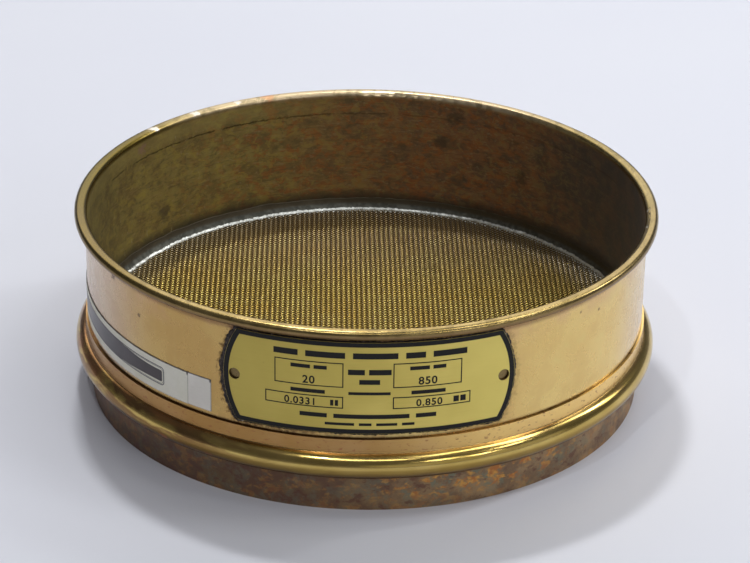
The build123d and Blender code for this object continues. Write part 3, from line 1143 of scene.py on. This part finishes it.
def dress(piece, material):
    """Gives a piece its one material."""
    if piece.data.materials:
        for index in range(len(piece.material_slots)):
            piece.material_slots[index].link = "OBJECT"
            piece.material_slots[index].material = material
    else:
        piece.data.materials.append(material)


# ======== studio ========

def stage_floor():
    """A wide pale floor just under the skirt."""
    mesh = bpy.data.meshes.new("floor")
    corners = [(x * floor_half, y * floor_half, 0) for x, y in ((-1, -1), (1, -1), (1, 1), (-1, 1))]
    mesh.from_pydata(corners, [], [(0, 1, 2, 3)])
    floor = bpy.data.objects.new("floor", mesh)
    bpy.context.scene.collection.objects.link(floor)
    floor.data.materials.append(floor_finish())


def softbox(name, azimuth, elevation, width, height, radiance, colour=(1, 1, 1)):
    """An area light in this direction from the sieve, facing it. Azimuth 0 is +X."""
    light = bpy.data.lights.new(name, "AREA")
    light.shape = "RECTANGLE"
    light.size = width
    light.size_y = height
    light.energy = radiance * pi * width * height
    light.color = colour
    holder = bpy.data.objects.new(name, light)
    bpy.context.scene.collection.objects.link(holder)
    level = cos(radians(elevation))
    out = Vector((level * cos(radians(azimuth)), level * sin(radians(azimuth)), sin(radians(elevation))))
    target = Vector((0, 0, aim_height))
    holder.location = target + out * light_distance
    holder.rotation_euler = (-out).to_track_quat("-Z", "Y").to_euler()


def studio_world():
    """A dim room: pale near the horizon, grey above."""
    world = bpy.data.worlds.new("studio")
    bpy.context.scene.world = world
    world.use_nodes = True
    tree = world.node_tree
    background = tree.nodes["Background"]
    place = tree.nodes.new("ShaderNodeTexCoord")
    parts = tree.nodes.new("ShaderNodeSeparateXYZ")
    tree.links.new(place.outputs["Generated"], parts.inputs[0])
    ramp = tree.nodes.new("ShaderNodeValToRGB")
    tree.links.new(parts.outputs["Z"], ramp.inputs[0])
    stops = ramp.color_ramp.elements
    stops.new(0.25)
    for stop, grey in zip(stops, ((0.24, 0.24, 0.27), (0.10, 0.10, 0.11), (0.12, 0.12, 0.13))):
        stop.color = (*grey, 1)
    tree.links.new(ramp.outputs[0], background.inputs[0])
    background.inputs[1].default_value = 1.0


def camera():
    """The photograph's view of the sieve."""
    location = Vector((-16.43, -911.25, 489.49)) * mm
    elevation = radians(26.398)
    yaw = radians(-1.253)
    roll = radians(0.904)
    back = Vector((sin(yaw) * cos(elevation), -cos(yaw) * cos(elevation), sin(elevation)))
    level_right = (-back).cross(Vector((0, 0, 1))).normalized()
    level_up = level_right.cross(-back)
    right = cos(roll) * level_right + sin(roll) * level_up
    up = -sin(roll) * level_right + cos(roll) * level_up
    turn = Matrix((right, up, back)).transposed().to_4x4()
    lens = bpy.data.cameras.new("camera")
    lens.lens = 131.97
    lens.sensor_width = 36
    lens.sensor_fit = "HORIZONTAL"
    lens.clip_start = 0.01
    lens.clip_end = 50
    holder = bpy.data.objects.new("camera", lens)
    bpy.context.scene.collection.objects.link(holder)
    holder.matrix_world = Matrix.Translation(location) @ turn
    bpy.context.scene.camera = holder


def lights():
    """The windows behind, two lit ceilings and the small lamps that show in the bead."""
    softbox("window", 92, 34, 1.8, 0.7, 1.8, (1, 0.985, 0.96))
    softbox("ceiling_back", 102, 66, 0.14, 0.10, 205)
    softbox("key_right", 21.5, 36, 0.26, 0.70, 4)
    softbox("spark", 21.8, 36.7, 0.05, 0.05, 200)
    softbox("lamp", -116, 63, 0.04, 0.04, 420)
    softbox("ceiling_front", -87, 60, 0.60, 0.14, 5.5)
    softbox("ceiling_middle", -26, 71, 0.45, 0.16, 4)
    softbox("ceiling_right", 4, 62, 0.30, 0.50, 6.5)
    softbox("ceiling_far", 52, 52, 0.5, 0.20, 5)
    softbox("low_front", -60, 33.5, 0.22, 0.14, 10)
    softbox("low_right", -45, 27.5, 0.20, 0.12, 12)
    softbox("side_right", -26, 41, 0.22, 0.16, 9)
    softbox("side_far", -7, 52, 0.22, 0.16, 7)
    softbox("low_wide", -50, 14, 2.4, 0.6, 0.3)


def main():
    """Every piece with its finish, then the studio."""
    bpy.context.scene.view_settings.view_transform = "Standard"
    # the same brass wire in two copies: the warp painted as lit and the weft painted as in shade
    lit_warp_finish = cloth_wire("warp_wire_painted_lit", (1.0, 0.69, 0.14), (1.0, 0.80, 0.22))
    shaded_weft_finish = cloth_wire("weft_wire_painted_shade", (0.26, 0.165, 0.035), (0.33, 0.22, 0.05))
    for piece in weave():
        dress(piece, shaded_weft_finish if "weft" in piece.name else lit_warp_finish)
    solder_finish = solder()
    for piece in solder_rings():
        dress(piece, solder_finish)
    black = enamel("plate_enamel", (0.014, 0.013, 0.012), 0.45)
    for piece in (print_border(), print_lines(), print_numbers()):
        dress(piece, black)
    dress(plate_solder(), plate_dirt())
    dress(paper_window(), window_print())
    dress(paper_outline(), enamel("paper_ink", (0.10, 0.09, 0.10), 0.5))
    dress(nodes["upper_shell"], shell_brass())
    dress(nodes["lower_ring"], ring_brass())
    dress(nodes["nameplate"], plate_brass())
    dress(nodes["label_strip"], paper("paper", (0.86, 0.83, 0.68), (0.92, 0.89, 0.76), strip_start))
    dress(nodes["label_understrip"],
          paper("old_paper", (0.86, 0.82, 0.73), (0.92, 0.88, 0.80), understrip_start))
    stage_floor()
    studio_world()
    lights()
    camera()


main()
